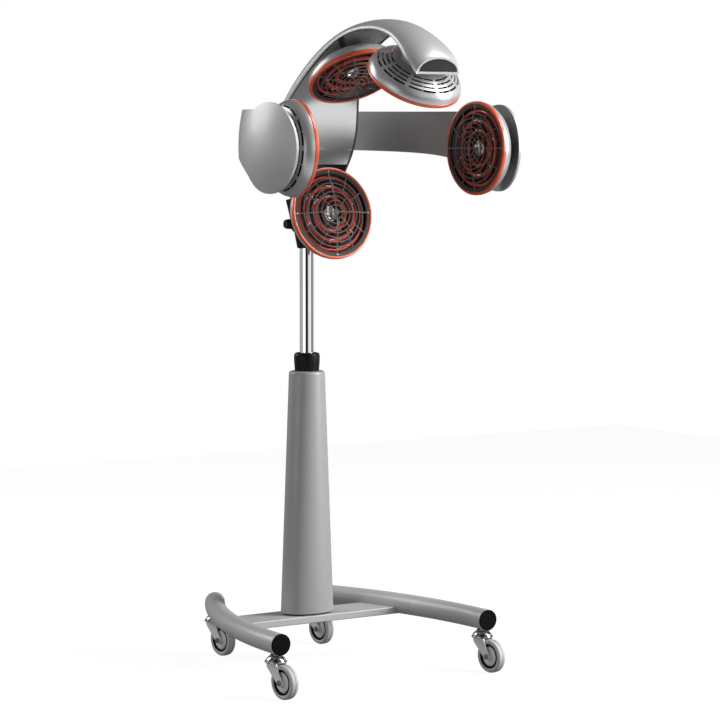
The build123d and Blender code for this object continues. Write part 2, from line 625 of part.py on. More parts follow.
def cover_screws():
    """Screws through the cover, sunk from the client's side."""
    screws = []
    for angle, half_spacing in SCREW_PLACES:
        reach, half_width, wrap = [station_value(angle, column) for column in (1, 2, 3)]
        depth = COVER_RECESS - wrap + COVER_DISH * wrap * (1 - (half_spacing / half_width) ** 2)
        screw = cylinder(SCREW_HEAD_RADIUS, 0, SCREW_HEAD_HEIGHT) + cylinder(SCREW_RADIUS, 0, SCREW_LENGTH)
        for side in (1, -1):
            screws.append(hood_plane(angle, reach) * Pos(side * half_spacing, depth) * Rot(-90, 0, 0) * screw)
    return Compound(children=screws)


def cavity_section(half_width, wrap):
    return closed_section(half_width, wrap, SHELL_WALL + 2 * SEAT_GAP)


def inner_cover():
    cover = hood_loft(cover_section, COVER_WALL) & hood_loft(cavity_section, COVER_WALL)
    cover = split(cover, bisect_by=hood_plane(COVER_END, 0), keep=Keep.TOP)
    return cover - arm_band(SEAT_GAP) - mirrored(arm_band(SEAT_GAP)) - cover_screws()


def arm_band(grow=0.0):
    """Right half of the band of arms: crowned round the client, widening to the disc."""
    outer, inner = ARM_CROWN + grow, ARM_CROWN - ARM_WALL - grow
    half = degrees(asin((DISC_RADIUS + 8) / ARM_CROWN))
    centre = (ARM_RADIUS - ARM_CROWN, ARM_CROWN_Z)
    crown = CenterArc(centre, outer, -half, 2 * half)
    back = CenterArc(centre, inner, -half, 2 * half)
    profile = crown + back + Line(crown @ 0, back @ 0) + Line(crown @ 1, back @ 1)
    axis = Axis((ARM_CENTRE_X, ARM_CENTRE_Y, 0), (0, 0, 1))
    start = Pos(ARM_CENTRE_X, ARM_CENTRE_Y) * Rot(0, 0, ARM_START - ARM_SWEEP)
    band = revolve(start * (Plane.XZ * make_face(profile)), axis, ARM_SWEEP)
    join = 50.0
    chord = sqrt(DISC_RADIUS ** 2 - join ** 2)
    top = Spline((40, ARM_TOP_Z + grow), (-165, ARM_TOP_Z + grow),
                 (DISC_Y + join, DISC_Z + chord + grow))
    bottom = Spline((40, ARM_BOTTOM_Z + 8 - grow), (-20, ARM_BOTTOM_Z - grow),
                    (-165, ARM_BOTTOM_Z - ARM_BELLY - grow), (DISC_Y + join, DISC_Z - chord - grow))
    blade = make_face(top + Line(top @ 1, bottom @ 1) + bottom + Line(bottom @ 0, top @ 0))
    blade += Pos(DISC_Y, DISC_Z) * Circle(DISC_RADIUS + grow)
    return band & extrude(Plane.YZ * blade, 2 * ARM_RADIUS)


# ================================================================ lamps
def lamp_plane(name):
    centre, facing, across = LAMPS[name]
    return Plane(origin=centre, x_dir=across, z_dir=facing)


def lamp_rim():
    """Coloured rim that clamps the grille to the housing."""
    inner = LAMP_RADIUS - RIM_WALL
    return revolved([(inner, -RIM_DEPTH), (LAMP_RADIUS - 0.8, -RIM_DEPTH), (LAMP_RADIUS, -RIM_DEPTH + 0.8),
                     (LAMP_RADIUS, -1.2), (LAMP_RADIUS - 1.2, 0), (inner, 0)])


def housing_outline(inset):
    """Half section of the bowl, from the rim's back to the raised ring behind."""
    front = LAMP_RADIUS - 1.2 - inset
    back = -HOUSING_DEPTH + inset
    shoulder = HOUSING_BACK_RADIUS
    return [(0, -RIM_DEPTH), (front, -RIM_DEPTH), (front - 1.5, -RIM_DEPTH - 8),
            (front - 6.5, -RIM_DEPTH - 16), (front - 19, -RIM_DEPTH - 25),
            (shoulder - inset / 2, back + 4), (RECESS_RADIUS + 8, back), (0, back)]


def lamp_housing():
    """Vented bowl with a ball socket in the recess at its back."""
    bowl = revolved(housing_outline(0))
    inside = revolved(housing_outline(HOUSING_WALL))
    bowl -= inside - cylinder(RECESS_RADIUS + HOUSING_WALL, -HOUSING_DEPTH, -HOUSING_DEPTH + RECESS_DEPTH)
    bowl -= cylinder(RECESS_RADIUS, -HOUSING_DEPTH - 1, -HOUSING_DEPTH + RECESS_DEPTH - HOUSING_WALL)
    bowl += cylinder(BALL_RADIUS + 5, BALL_Z - SOCKET_COVER, BALL_Z + BALL_RADIUS + 3)
    bowl -= Pos(0, 0, BALL_Z) * Sphere(BALL_RADIUS + RUNNING_FIT)
    slots = []
    for i in range(SLOT_GROUPS):
        for radius in SLOT_RADII:
            slots.append(Rot(0, 0, i * 360 / SLOT_GROUPS)
                         * sector(radius - SLOT_WIDTH / 2, radius + SLOT_WIDTH / 2, SLOT_SPAN))
    return bowl - [Pos(0, 0, -HOUSING_DEPTH - 5) * extrude(slot, HOUSING_DEPTH) for slot in slots]


def sector(inner, outer, span):
    """Part of a flat ring, centred on +X."""
    a, b = CenterArc((0, 0), inner, -span / 2, span), CenterArc((0, 0), outer, -span / 2, span)
    return make_face(a + Line(a @ 1, b @ 1) + b + Line(b @ 0, a @ 0))


def lamp_grille():
    """Domed guard: flat frame, concentric bars and spokes round a boss."""
    dome_radius = (GRILLE_FRAME ** 2 + GRILLE_RISE ** 2) / (2 * GRILLE_RISE)
    centre_z = GRILLE_RISE - dome_radius - 1.5
    dome = Pos(0, 0, centre_z) * (Sphere(dome_radius) - Sphere(dome_radius - GRILLE_WALL))
    dome &= cylinder(GRILLE_FRAME + 1, -1.5 - GRILLE_WALL, GRILLE_RISE)
    frame = ring(LAMP_RADIUS - RIM_WALL, GRILLE_FRAME, -1.5 - GRILLE_WALL, -1.5)
    grille = dome + frame
    pitch = (GRILLE_FRAME - GRILLE_BOSS) / GRILLE_BANDS
    cuts = []
    for band in range(GRILLE_BANDS):
        inner = GRILLE_BOSS + band * pitch + (GRILLE_BAR if band else 0)
        outer = GRILLE_BOSS + (band + 1) * pitch
        span = 360 / GRILLE_SPOKES - degrees(GRILLE_BAR / ((inner + outer) / 2))
        for i in range(GRILLE_SPOKES):
            cuts.append(Rot(0, 0, i * 360 / GRILLE_SPOKES + 180 / GRILLE_SPOKES)
                        * sector(inner, outer - 0.01, span))
    return grille - [Pos(0, 0, -20) * extrude(cut, 60) for cut in cuts]


def lamp_reflector():
    """Polished dish behind the heating ring; its flange sits on the housing's front edge."""
    rim = LAMP_RADIUS - RIM_WALL - 3
    dish = revolved([(0, -RIM_DEPTH), (rim, -RIM_DEPTH)]
                    + [(share * rim, depth * -REFLECTOR_DEPTH) for share, depth in REFLECTOR_STEPS]
                    + [(0, -REFLECTOR_DEPTH)])
    dish -= Pos(0, 0, REFLECTOR_WALL) * dish
    dish += ring(rim + 3, rim - 2, -RIM_DEPTH, REFLECTOR_WALL - RIM_DEPTH)
    post = Pos(HEATER_RADIUS, 0) * cylinder(HEATER_POST_RADIUS, HEATER_Z - 12, HEATER_Z - HEATER_TUBE)
    return dish + [Rot(0, 0, i * 360 / HEATER_POSTS) * post for i in range(HEATER_POSTS)]


def lamp_heater():
    """Ring heating element that stands on the dish's posts."""
    return revolve(Plane.XZ * (Pos(HEATER_RADIUS, HEATER_Z) * Circle(HEATER_TUBE)), Axis.Z)


def lamp_neck(name):
    """Ball and stalk that carry one lamp."""
    plane = lamp_plane(name)
    ball = plane.from_local_coords(Vector(0, 0, BALL_Z))
    away = (Vector(*LOW_NECK_ROOT) - ball).normalized() if name == "lamp_low" else -plane.z_dir
    length = NECKS[name][1]
    waist = sqrt(BALL_RADIUS ** 2 - NECK_RADIUS ** 2)
    outline = ThreePointArc((0, -BALL_RADIUS), (BALL_RADIUS, 0), (NECK_RADIUS, waist))
    outline += Polyline((NECK_RADIUS, waist), (NECK_RADIUS, length), (0, length), (0, -BALL_RADIUS))
    return Plane(origin=ball, z_dir=away) * revolve(Plane.XZ * make_face(outline), Axis.Z)


def build():
    nodes = {
        "base_tube_right": base_tube(),
        "base_tube_left": mirrored(base_tube()),
        "tube_end_caps": tube_end_caps(),
        "crossbar": crossbar(),
        "column_bolts": column_bolts(),
        "caster_stems": caster_stems(),
        "column_shroud": column_shroud(),
        "guide_tube": guide_tube(),
        "guide_bush": guide_bush(),
        "height_collar": height_collar(),
        "mast": mast(),
        "mast_foot": mast_foot(),
        "swivel_socket": swivel_socket(),
        "tilt_bracket": tilt_bracket(),
        "tilt_axle": tilt_axle(),
        "tilt_knob": tilt_knob(),
        "hood_shell": hood_shell(),
        "inner_cover": inner_cover(),
        "cover_screws": cover_screws(),
        "badge_trim": badge_trim(),
        "badge_panel": badge_panel(),
        "arm_right": arm_band(),
        "arm_left": mirrored(arm_band()),
    }
    caster = {"fork": caster_fork(), "tyre": caster_tyre(), "hub": caster_hub(), "axle": caster_axle()}
    for place in CASTER_PLACES:
        spot = Pos(*stem_point(place)) * Rot(0, 0, CASTER_HEADING)
        for piece, shape in caster.items():
            nodes[f"caster_{piece}_{place}"] = spot * shape
    lamp = {"rim": lamp_rim(), "housing": lamp_housing(), "grille": lamp_grille(),
            "emitter": Compound(children=[lamp_reflector(), lamp_heater()])}
    for name in LAMPS:
        for piece, shape in lamp.items():
            nodes[f"{name}_{piece}"] = lamp_plane(name) * shape
    necks = {name: lamp_neck(name) for name in LAMPS}
    for name, (support, length) in NECKS.items():
        nodes[support] -= necks[name]
    nodes["lamp_necks"] = Compound(children=list(necks.values()))
    return nodes


def footprint_shift(nodes):
    """How far everything moves in Y to bring the middle of the footprint to Y = 0."""
    front = nodes["badge_trim"].bounding_box().min.Y
    rear = nodes["tube_end_caps"].bounding_box().max.Y
    return -(front + rear) / 2


drawn = build()
to_footprint = Pos(0, footprint_shift(drawn), 0)
os.makedirs("parts", exist_ok=True)
for node, shape in drawn.items():
    export_step(to_footprint * shape, f"parts/{node}.step")
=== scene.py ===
import math

import bmesh
import bpy
from mathutils import Matrix, Vector


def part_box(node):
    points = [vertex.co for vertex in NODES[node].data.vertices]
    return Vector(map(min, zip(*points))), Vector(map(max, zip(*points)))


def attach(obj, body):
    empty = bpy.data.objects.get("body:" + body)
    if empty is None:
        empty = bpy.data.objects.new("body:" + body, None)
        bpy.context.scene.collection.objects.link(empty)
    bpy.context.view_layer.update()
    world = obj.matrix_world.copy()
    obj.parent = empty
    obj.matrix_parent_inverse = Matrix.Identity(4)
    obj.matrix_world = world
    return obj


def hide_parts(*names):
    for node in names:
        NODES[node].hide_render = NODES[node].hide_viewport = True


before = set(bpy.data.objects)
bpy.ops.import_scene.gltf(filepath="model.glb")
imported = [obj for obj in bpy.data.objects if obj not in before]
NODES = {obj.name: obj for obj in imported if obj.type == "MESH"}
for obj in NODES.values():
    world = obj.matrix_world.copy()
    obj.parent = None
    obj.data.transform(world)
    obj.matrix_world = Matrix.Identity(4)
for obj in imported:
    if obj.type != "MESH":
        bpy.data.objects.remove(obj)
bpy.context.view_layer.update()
MM = 0.001
TAU = 2 * math.pi
scene = bpy.context.scene

# ------------------------------------------------------------------ shared places
mast_low, mast_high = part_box("mast")
MAST_Y = (mast_low.y + mast_high.y) / 2

LAMPS = {  # rim centre, facing direction, direction across the lamp
    "lamp_low": ((0, -0.110, 1.013), (0, -0.981, 0.194), (1, 0, 0)),
    "lamp_right": ((0.229, -0.324, 1.155), (-0.999, -0.04, 0), (0, -1, 0)),
    "lamp_left": ((-0.229, -0.324, 1.155), (0.999, -0.04, 0), (0, 1, 0)),
    "lamp_back": ((0, -0.199, 1.307), (0, -0.53, -0.848), (1, 0, 0)),
    "lamp_front": ((0, -0.424, 1.296), (0, 0.581, -0.814), (1, 0, 0)),
}
HOOD_CENTRE = (0, -0.310 + MAST_Y, 1.109)
ARM_CENTRE = (0, -0.304 + MAST_Y, 0)


def lamp_matrix(name):
    centre, facing, across = (Vector(v) for v in LAMPS[name])
    z = facing.normalized()
    x = (across - z * across.dot(z)).normalized()
    y = z.cross(x)
    rows = Matrix((x, y, z)).transposed().to_4x4()
    return Matrix.Translation(centre + Vector((0, MAST_Y, 0))) @ rows


# ------------------------------------------------------------------ shader nodes
def feed(tree, socket, value):
    """Links another node's output to a socket, or sets the socket to a constant."""
    if isinstance(value, bpy.types.NodeSocket):
        tree.links.new(value, socket)
    else:
        socket.default_value = value


def math_node(tree, operation, *values):
    node = tree.nodes.new("ShaderNodeMath")
    node.operation = operation
    for socket, value in zip(node.inputs, values):
        feed(tree, socket, value)
    return node.outputs[0]


def vector_node(tree, operation, *values):
    node = tree.nodes.new("ShaderNodeVectorMath")
    node.operation = operation
    for socket, value in zip(node.inputs, values):
        feed(tree, socket, value)
    return node.outputs["Value" if operation == "DOT_PRODUCT" else "Vector"]


def range_node(tree, source, start, end, low, high, blend="LINEAR"):
    """Maps a source from start..end to low..high and holds it beyond them."""
    node = tree.nodes.new("ShaderNodeMapRange")
    node.interpolation_type = blend
    for key, value in (("From Min", start), ("From Max", end), ("To Min", low), ("To Max", high)):
        node.inputs[key].default_value = value
    tree.links.new(source, node.inputs["Value"])
    return node.outputs["Result"]


def ramp_node(tree, source, stops):
    """Turns a source into a colour; stops are (place, colour)."""
    node = tree.nodes.new("ShaderNodeValToRGB")
    elements = node.color_ramp.elements
    while len(elements) < len(stops):
        elements.new(0.5)
    for element, (place, colour) in zip(elements, stops):
        element.position = place
        element.color = (*colour, 1)
    tree.links.new(source, node.inputs["Fac"])
    return node.outputs["Color"]


# ------------------------------------------------------------------ materials
FLAKE, MOTTLE, PEEL = 1800, 14, 420   # scales of a paint's flake, patches and orange peel
PEEL_STRENGTH = 0.06
SIDE_BLEND = 0.02                     # half the width of the change between two sides, in metres


def shade(colour, share):
    return tuple(min(1.0, c * share) for c in colour)


class Material:
    """A Principled material whose varying sockets are fed by noise in object space."""

    def __init__(self, name, **values):
        self.material = bpy.data.materials.new(name)
        self.material.use_nodes = True
        self.tree = self.material.node_tree
        self.shader = self.tree.nodes["Principled BSDF"]
        self.coords = self.tree.nodes.new("ShaderNodeTexCoord").outputs["Object"]
        for key, value in values.items():
            self.shader.inputs[key.replace("_", " ")].default_value = value

    def noise(self, scale, detail, stretch=(1, 1, 1)):
        mapping = self.tree.nodes.new("ShaderNodeMapping")
        mapping.inputs["Scale"].default_value = stretch
        self.tree.links.new(self.coords, mapping.inputs["Vector"])
        node = self.tree.nodes.new("ShaderNodeTexNoise")
        node.inputs["Scale"].default_value = scale
        node.inputs["Detail"].default_value = detail
        self.tree.links.new(mapping.outputs["Vector"], node.inputs["Vector"])
        return node.outputs["Fac"]

    def speckle(self, source, colour, dark, light, start=0.35, end=0.65):
        """Varies a colour between a dark and a light share of itself."""
        stops = [(start, shade(colour, dark)), (end, shade(colour, light))]
        return ramp_node(self.tree, source, stops)

    def flake(self, source, colour):
        return self.speckle(source, colour, 0.93, 1.07, 0.3, 0.7)

    def colour(self, source):
        self.tree.links.new(source, self.shader.inputs["Base Color"])

    def rough(self, source, low, high):
        spread = range_node(self.tree, source, 0.3, 0.7, low, high)
        self.tree.links.new(spread, self.shader.inputs["Roughness"])

    def bump(self, source, strength, distance):
        node = self.tree.nodes.new("ShaderNodeBump")
        node.inputs["Strength"].default_value = strength
        node.inputs["Distance"].default_value = distance
        self.tree.links.new(source, node.inputs["Height"])
        self.tree.links.new(node.outputs["Normal"], self.shader.inputs["Normal"])

    def paint_surface(self, rough, peel):
        self.rough(self.noise(MOTTLE, 4.0), *rough)
        self.bump(self.noise(PEEL, 1.5), peel, 0.0004)


def metallic_paint(name, colour, metallic, rough, coat=0.25, peel=PEEL_STRENGTH):
    """Silver paint: fine flake in colour, faint orange peel, clear coat."""
    made = Material(name, Metallic=metallic, Coat_Weight=coat, Coat_Roughness=0.12)
    made.colour(made.flake(made.noise(FLAKE, 1.0), colour))
    made.paint_surface(rough, peel)
    return made.material


def paint_with_shaded_inside(name, outside, shaded_inside, centre, across, turn, metallic, rough):
    """Satin paint whose inner face gets a darker colour as painted shade.

    A spot counts as outside where its normal points away from the centre: the line from
    the centre to the spot, kept only along the axes marked 1 in across, has a dot product
    with the normal above turn, in metres.
    """
    made = Material(name, Metallic=metallic, Coat_Weight=0.12, Coat_Roughness=0.15)
    tree = made.tree
    line = vector_node(tree, "SUBTRACT", made.coords, centre)
    kept = vector_node(tree, "MULTIPLY", line, across)
    away = vector_node(tree, "DOT_PRODUCT", kept, made.coords.node.outputs["Normal"])
    side = range_node(tree, away, turn - SIDE_BLEND, turn + SIDE_BLEND, 0.0, 1.0)
    grain = made.noise(FLAKE, 1.0)
    mix = tree.nodes.new("ShaderNodeMix")
    mix.data_type = "RGBA"
    tree.links.new(side, mix.inputs[0])
    sockets = [socket for socket in mix.inputs if socket.type == "RGBA"]
    for socket, colour in zip(sockets, (shaded_inside, outside)):
        tree.links.new(made.flake(grain, colour), socket)
    made.colour(next(socket for socket in mix.outputs if socket.type == "RGBA"))
    made.paint_surface(rough, PEEL_STRENGTH)
    return made.material


def moulded(name, colour, rough, grain, depth, specular=0.5):
    """Moulded plastic with a fine spark-eroded grain."""
    made = Material(name, Specular_IOR_Level=specular)
    made.colour(made.speckle(made.noise(9, 4.0), colour, 0.94, 1.06))
    made.rough(made.noise(26, 4.0), *rough)
    made.bump(made.noise(grain, 2.0), depth, 0.0003)
    return made.material


def metal(name, colour, rough, scale, depth, stretch=(1, 1, 1)):
    """Bare or plated metal with a faint grain, drawn out where stretch is small."""
    made = Material(name, Metallic=1.0)
    made.colour(made.speckle(made.noise(7, 3.0), colour, 0.96, 1.03))
    made.rough(made.noise(scale, 4.0, stretch), *rough)
    made.bump(made.noise(scale * 9, 2.0, stretch), depth, 0.0002)
    return made.material


# The hood's and the arms' inner faces are painted darker: painted shade where the insides of the
# shells lie in shade.
HOOD = paint_with_shaded_inside("hood_silver_paint", (0.58, 0.581, 0.586), (0.07, 0.07, 0.072),
                 HOOD_CENTRE, (0, 1, 1), 0.075, 0.25, (0.30, 0.36))
COVER = metallic_paint("cover_grey_satin", (0.60, 0.602, 0.608), 0.95, (0.155, 0.18), 0.0, 0.01)
ARM = paint_with_shaded_inside("arm_grey_satin", (0.52, 0.522, 0.526), (0.34, 0.342, 0.345),
                ARM_CENTRE, (1, 1, 0), 0.0, 0.30, (0.36, 0.44))
HOUSING = metallic_paint("housing_silver_satin", (0.54, 0.542, 0.548), 0.40, (0.26, 0.34), 0.1)
ORANGE = moulded("rim_orange_gloss", (0.86, 0.11, 0.03), (0.20, 0.30), 300, 0.02, 0.8)
GRILLE = moulded("grille_grey_coat", (0.16, 0.155, 0.15), (0.36, 0.46), 700, 0.10, 0.35)
FRAME = moulded("grille_frame_dark", (0.062, 0.052, 0.050), (0.40, 0.50), 700, 0.10, 0.2)
BLACK = moulded("black_moulded", (0.007, 0.007, 0.008), (0.30, 0.44), 700, 0.12, 0.14)
CASTING = moulded("black_casting_coat", (0.008, 0.008, 0.009), (0.38, 0.50), 500, 0.16, 0.16)
RUBBER = moulded("black_rubber", (0.005, 0.005, 0.0055), (0.42, 0.58), 300, 0.14, 0.06)
BADGE = moulded("badge_grey_gloss", (0.040, 0.041, 0.043), (0.14, 0.2), 900, 0.03, 0.6)
TYRE = moulded("tyre_grey_rubber", (0.62, 0.62, 0.622), (0.44, 0.55), 260, 0.14)
HUB = metallic_paint("hub_grey", (0.95, 0.952, 0.955), 0.0, (0.32, 0.4))
COLUMN = metallic_paint("column_silver_coat", (0.40, 0.40, 0.403), 0.1, (0.38, 0.46), 0.08)
BASE = metallic_paint("base_silver_coat", (0.58, 0.581, 0.585), 0.1, (0.34, 0.42), 0.1)
BAR = metallic_paint("crossbar_silver_coat", (0.56, 0.561, 0.565), 0.1, (0.34, 0.42), 0.1)
CHROME = metal("mast_chrome", (0.82, 0.825, 0.83), (0.015, 0.04), 90, 0.006, (1, 1, 0.02))
TRIM = metallic_paint("trim_bright", (0.90, 0.90, 0.91), 0.3, (0.12, 0.2), 0.5)
ZINC = metal("zinc_bright", (0.56, 0.565, 0.57), (0.10, 0.18), 120, 0.02)
PLATE = metallic_paint("fork_zinc_matt", (0.96, 0.96, 0.95), 0.0, (0.30, 0.40), 0.1)
STEEL = metal("steel_plated", (0.36, 0.36, 0.36), (0.2, 0.34), 90, 0.06)
MIRROR = metal("reflector_polished", (0.90, 0.89, 0.88), (0.24, 0.30), 30, 0.002)
NYLON = moulded("nylon_natural", (0.70, 0.69, 0.64), (0.4, 0.5), 500, 0.08)
GLOW = moulded("heater_red_glass", (0.80, 0.10, 0.045), (0.08, 0.14), 200, 0.02, 0.8)
# The reflector's dark red is a painted reflection of the red heating rings.
PAINTED_RED_REFLECTION = moulded("reflector_painted_red_reflection", (0.16, 0.012, 0.008), (0.14, 0.24), 200, 0.03, 0.7)

CAD_LOOKS = {
    HOOD: ["hood_shell"],
    COVER: ["inner_cover"],
    ARM: ["arm_left", "arm_right"],
    TRIM: ["badge_trim"],
    BADGE: ["badge_panel"],
    BLACK: ["height_collar", "tilt_knob", "lamp_necks"],
    CASTING: ["tilt_bracket", "swivel_socket", "guide_tube"],
    CHROME: ["mast"],
    COLUMN: ["column_shroud"],
    BASE: ["base_tube_left", "base_tube_right"],
    BAR: ["crossbar"],
    RUBBER: ["tube_end_caps"],
    STEEL: ["tilt_axle", "column_bolts", "caster_stems", "cover_screws"],
    NYLON: ["guide_bush", "mast_foot"],
}
for material, names in CAD_LOOKS.items():
    for name in names:
        mesh = NODES[name].data
        mesh.materials.clear()
        mesh.materials.append(material)


# ------------------------------------------------------------------ mesh building
def polar(radius, degrees, z=0.0):
    angle = math.radians(degrees)
    return radius * math.cos(angle), radius * math.sin(angle), z


def circle(radius, count, centre=(0.0, 0.0)):
    angles = [TAU * i / count for i in range(count)]
    return [(centre[0] + radius * math.cos(a), centre[1] + radius * math.sin(a)) for a in angles]


def spin(degrees, out=0.0):
    """Moves a form out along X, then turns it about Z."""
    return Matrix.Rotation(math.radians(degrees), 4, "Z") @ Matrix.Translation((out, 0, 0))


def rounded_profile(corners, radius=0.5, steps=3):
    """Rounds every corner of a closed (r, z) profile."""
    out = []
    for i, corner in enumerate(corners):
        here = Vector(corner)
        before = Vector(corners[i - 1]) - here
        after = Vector(corners[(i + 1) % len(corners)]) - here
        r = min(radius, before.length * 0.45, after.length * 0.45)
        a, b = here + before.normalized() * r, here + after.normalized() * r
        for s in range(steps + 1):
            t = s / steps
            out.append(tuple((1 - t) ** 2 * a + 2 * t * (1 - t) * here + t * t * b))
    return out


def bands(rows, count, closed=False, skip=None):
    """Faces between successive rows of count points; skip(i, j) leaves one out."""
    faces = []
    for i in range(rows if closed else rows - 1):
        here, there = i * count, (i + 1) % rows * count
        for j in range(count):
            if skip and skip(i, j):
                continue
            k = (j + 1) % count
            faces.append((here + j, here + k, there + k, there + j))
    return faces


def caps(rows, count):
    """Faces over the first and the last of such rows."""
    return [tuple(reversed(range(count))), tuple(range((rows - 1) * count, rows * count))]


class Shape:
    """Collects faces, in millimetres, into one mesh."""

    def __init__(self):
        self.points, self.faces, self.looks = [], [], []
        self.materials = []

    def add(self, points, faces, material, matrix=None):
        start = len(self.points)
        if material not in self.materials:
            self.materials.append(material)
        look = self.materials.index(material)
        for point in points:
            point = Vector(point)
            self.points.append((matrix @ point if matrix else point) * MM)
        self.faces += [[start + i for i in face] for face in faces]
        self.looks += [look] * len(faces)

    def lathe(self, profile, material, segments=96, matrix=None, ring=False, skip=None):
        """Turns a (radius, height) profile about Z; ring closes the profile on itself."""
        around = circle(1.0, segments)
        points = [(r * x, r * y, z) for r, z in profile for x, y in around]
        self.add(points, bands(len(profile), segments, ring, skip), material, matrix)

    def prism(self, outline, low, high, material, matrix=None, bevel=0.0):
        """Extrudes a plane outline from low to high, with an optional edge bevel."""
        count = len(outline)
        centre = sum((Vector(p) for p in outline), Vector((0, 0))) / count
        levels = [(low, 0), (high, 0)]
        if bevel:
            levels = [(low, bevel), (low + bevel, 0), (high - bevel, 0), (high, bevel)]
        points = []
        for z, inset in levels:
            for p in outline:
                away = Vector(p) - centre
                x, y = centre + away * max(0.0, 1 - inset / max(away.length, 1e-6))
                points.append((x, y, z))
        faces = caps(len(levels), count) + bands(len(levels), count)
        self.add(points, faces, material, matrix)

    def sweep(self, path, section, material, across):
        """Runs a section of (across, up) pairs along an open path."""
        points = []
        for i, p in enumerate(path):
            along = path[min(i + 1, len(path) - 1)] - path[max(i - 1, 0)]
            up = along.cross(across).normalized()
            points += [p + across * a + up * b for a, b in section]
        faces = bands(len(path), len(section)) + caps(len(path), len(section))
        self.add(points, faces, material)

    def mesh(self, name, angle=32):
        """Makes the mesh; edges sharper than angle, in degrees, stay sharp."""
        mesh = bpy.data.meshes.new(name)
        mesh.from_pydata([tuple(p) for p in self.points], [], self.faces)
        for material in self.materials:
            mesh.materials.append(material)
        mesh.polygons.foreach_set("material_index", self.looks)
        work = bmesh.new()
        work.from_mesh(mesh)
        bmesh.ops.remove_doubles(work, verts=work.verts, dist=1e-6)
        bmesh.ops.recalc_face_normals(work, faces=work.faces)
        work.to_mesh(mesh)
        work.free()
        mesh.shade_smooth()
        mesh.set_sharp_from_angle(angle=math.radians(angle))
        return mesh


def add_object(name, data):
    made = bpy.data.objects.new(name, data)
    scene.collection.objects.link(made)
    return made


def place(name, mesh, body, nodes, slot, matrix):
    piece = add_object(name, mesh)
    piece.matrix_world = matrix
    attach(piece, body)
    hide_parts(*nodes)


# ------------------------------------------------------------------ lamps
# A lamp is drawn facing +Z, with the front of its rim at z = 0.
SLOT_GROUPS = 8
SLOT_DEGREES, BRIDGE_DEGREES, STEP = 19.0, 1.0, 0.5
SLOT_ROWS = ((81.6, 78.4), (73.2, 70.0), (64.8, 61.6))  # outer and inner radius
CONE_RADIUS, CONE_Z, CONE_SLOPE = 82.2, -34.6, 0.5225   # the cone that carries these rows
DOME_RADIUS, DOME_RISE, DOME_SINK = 86.0, 17.0, 1.5     # the grille inside its flat frame
RING_START, RING_STEP, RING_COUNT = 16.0, 10.0, 7
WIRE_HALF = 1.05
SPOKE_START, SPOKE_MIDDLE, SPOKE_END = 5.0, 46.0, 88.4
DISH_RADIUS, DISH_RUN, DISH_STEPS = 95.0, 71.0, 12
DISH_Z, DISH_DEPTH = -8.5, 18.0
CARRIER_RINGS = ((88.0, 94.0, -8.2), (70.0, 75.0, -14.0), (46.0, 50.5, -17.0), (25.0, 29.0, -18.5))
HEATING_RINGS = ((81.5, 3.2, -10.5), (60.0, 4.3, -12.0), (38.0, 3.6, -13.5))  # radius, tube, z


def housing_mesh():
    """Bowl with four rows of paired slots, a raised collar and the neck's ball socket."""
    shape = Shape()
    segments = int(360 / STEP)
    profile = [(101.2, -8.5), (101.0, -12.5), (99.6, -17.5), (96.8, -22.8), (93.6, -27.0),
               (90.2, -30.0), (86.6, -32.3)]
    slotted = [len(profile) - 2]
    for radii in SLOT_ROWS:
        slotted.append(len(profile))
        profile += [(r, CONE_Z - (CONE_RADIUS - r) * CONE_SLOPE) for r in radii]
    profile += [(59.0, -46.3), (52.0, -47.9), (45.0, -48.9), (42.0, -49.3)]
    inner = [(r - 2.4, z + 2.0) for r, z in profile]
    inner[0] = (98.8, -8.5)
    half = BRIDGE_DEGREES / 2

    def skip(i, j):
        turn = (j + 0.5) * STEP % (360 / SLOT_GROUPS) - 180 / SLOT_GROUPS
        return i in slotted and half < abs(turn) < half + SLOT_DEGREES

    def slot_walls(row, low, high):
        steps = range(int(round((high - low) / STEP)) + 1)
        loop = [(row, low + s * STEP) for s in steps]
        loop += [(row + 1, high - s * STEP) for s in steps]
        points = []
        for level, degrees in loop:
            for r, z in (profile[level], inner[level]):
                points.append(polar(r, degrees, z))
        after = [(k + 1) % len(loop) for k in range(len(loop))]
        faces = [(2 * k, 2 * n, 2 * n + 1, 2 * k + 1) for k, n in enumerate(after)]
        shape.add(points, faces, HOUSING)

    shape.lathe(profile, HOUSING, segments, skip=skip)
    # The inner skin is drawn black as painted shade, so that the slots read dark.
    shape.lathe(inner, BLACK, segments, skip=skip)
    for row in slotted:
        for group in range(SLOT_GROUPS):
            middle = (group + 0.5) * 360 / SLOT_GROUPS
            slot_walls(row, middle - half - SLOT_DEGREES, middle - half)
            slot_walls(row, middle + half, middle + half + SLOT_DEGREES)
    shape.lathe([profile[0], inner[0]], HOUSING, segments)
    collar = [(42.0, -49.3), (40.5, -51.0), (36.0, -51.0), (34.5, -49.5), (34.5, -46.5),
              (42.0, -46.5)]
    shape.lathe(rounded_profile(collar, 1.0), HOUSING, 120, ring=True)
    throat = [(34.6, -49.6), (31.5, -46.5), (30.0, -41.5), (29.0, -38.0), (34.6, -38.0)]
    shape.lathe(throat, BLACK, 120, ring=True)
    socket = [(30.5, -41.0), (19.0, -41.0), (17.5, -42.0), (17.0, -47.0), (16.4, -47.5),
              (12.2, -47.5), (12.0, -46.0), (12.0, -40.0), (8.0, -34.0), (0.01, -31.5),
              (0.01, -29.5), (17.0, -29.5), (18.0, -38.5), (30.5, -38.5)]
    shape.lathe(socket, BLACK, 96, ring=True)
    return shape.mesh("lamp_housing")


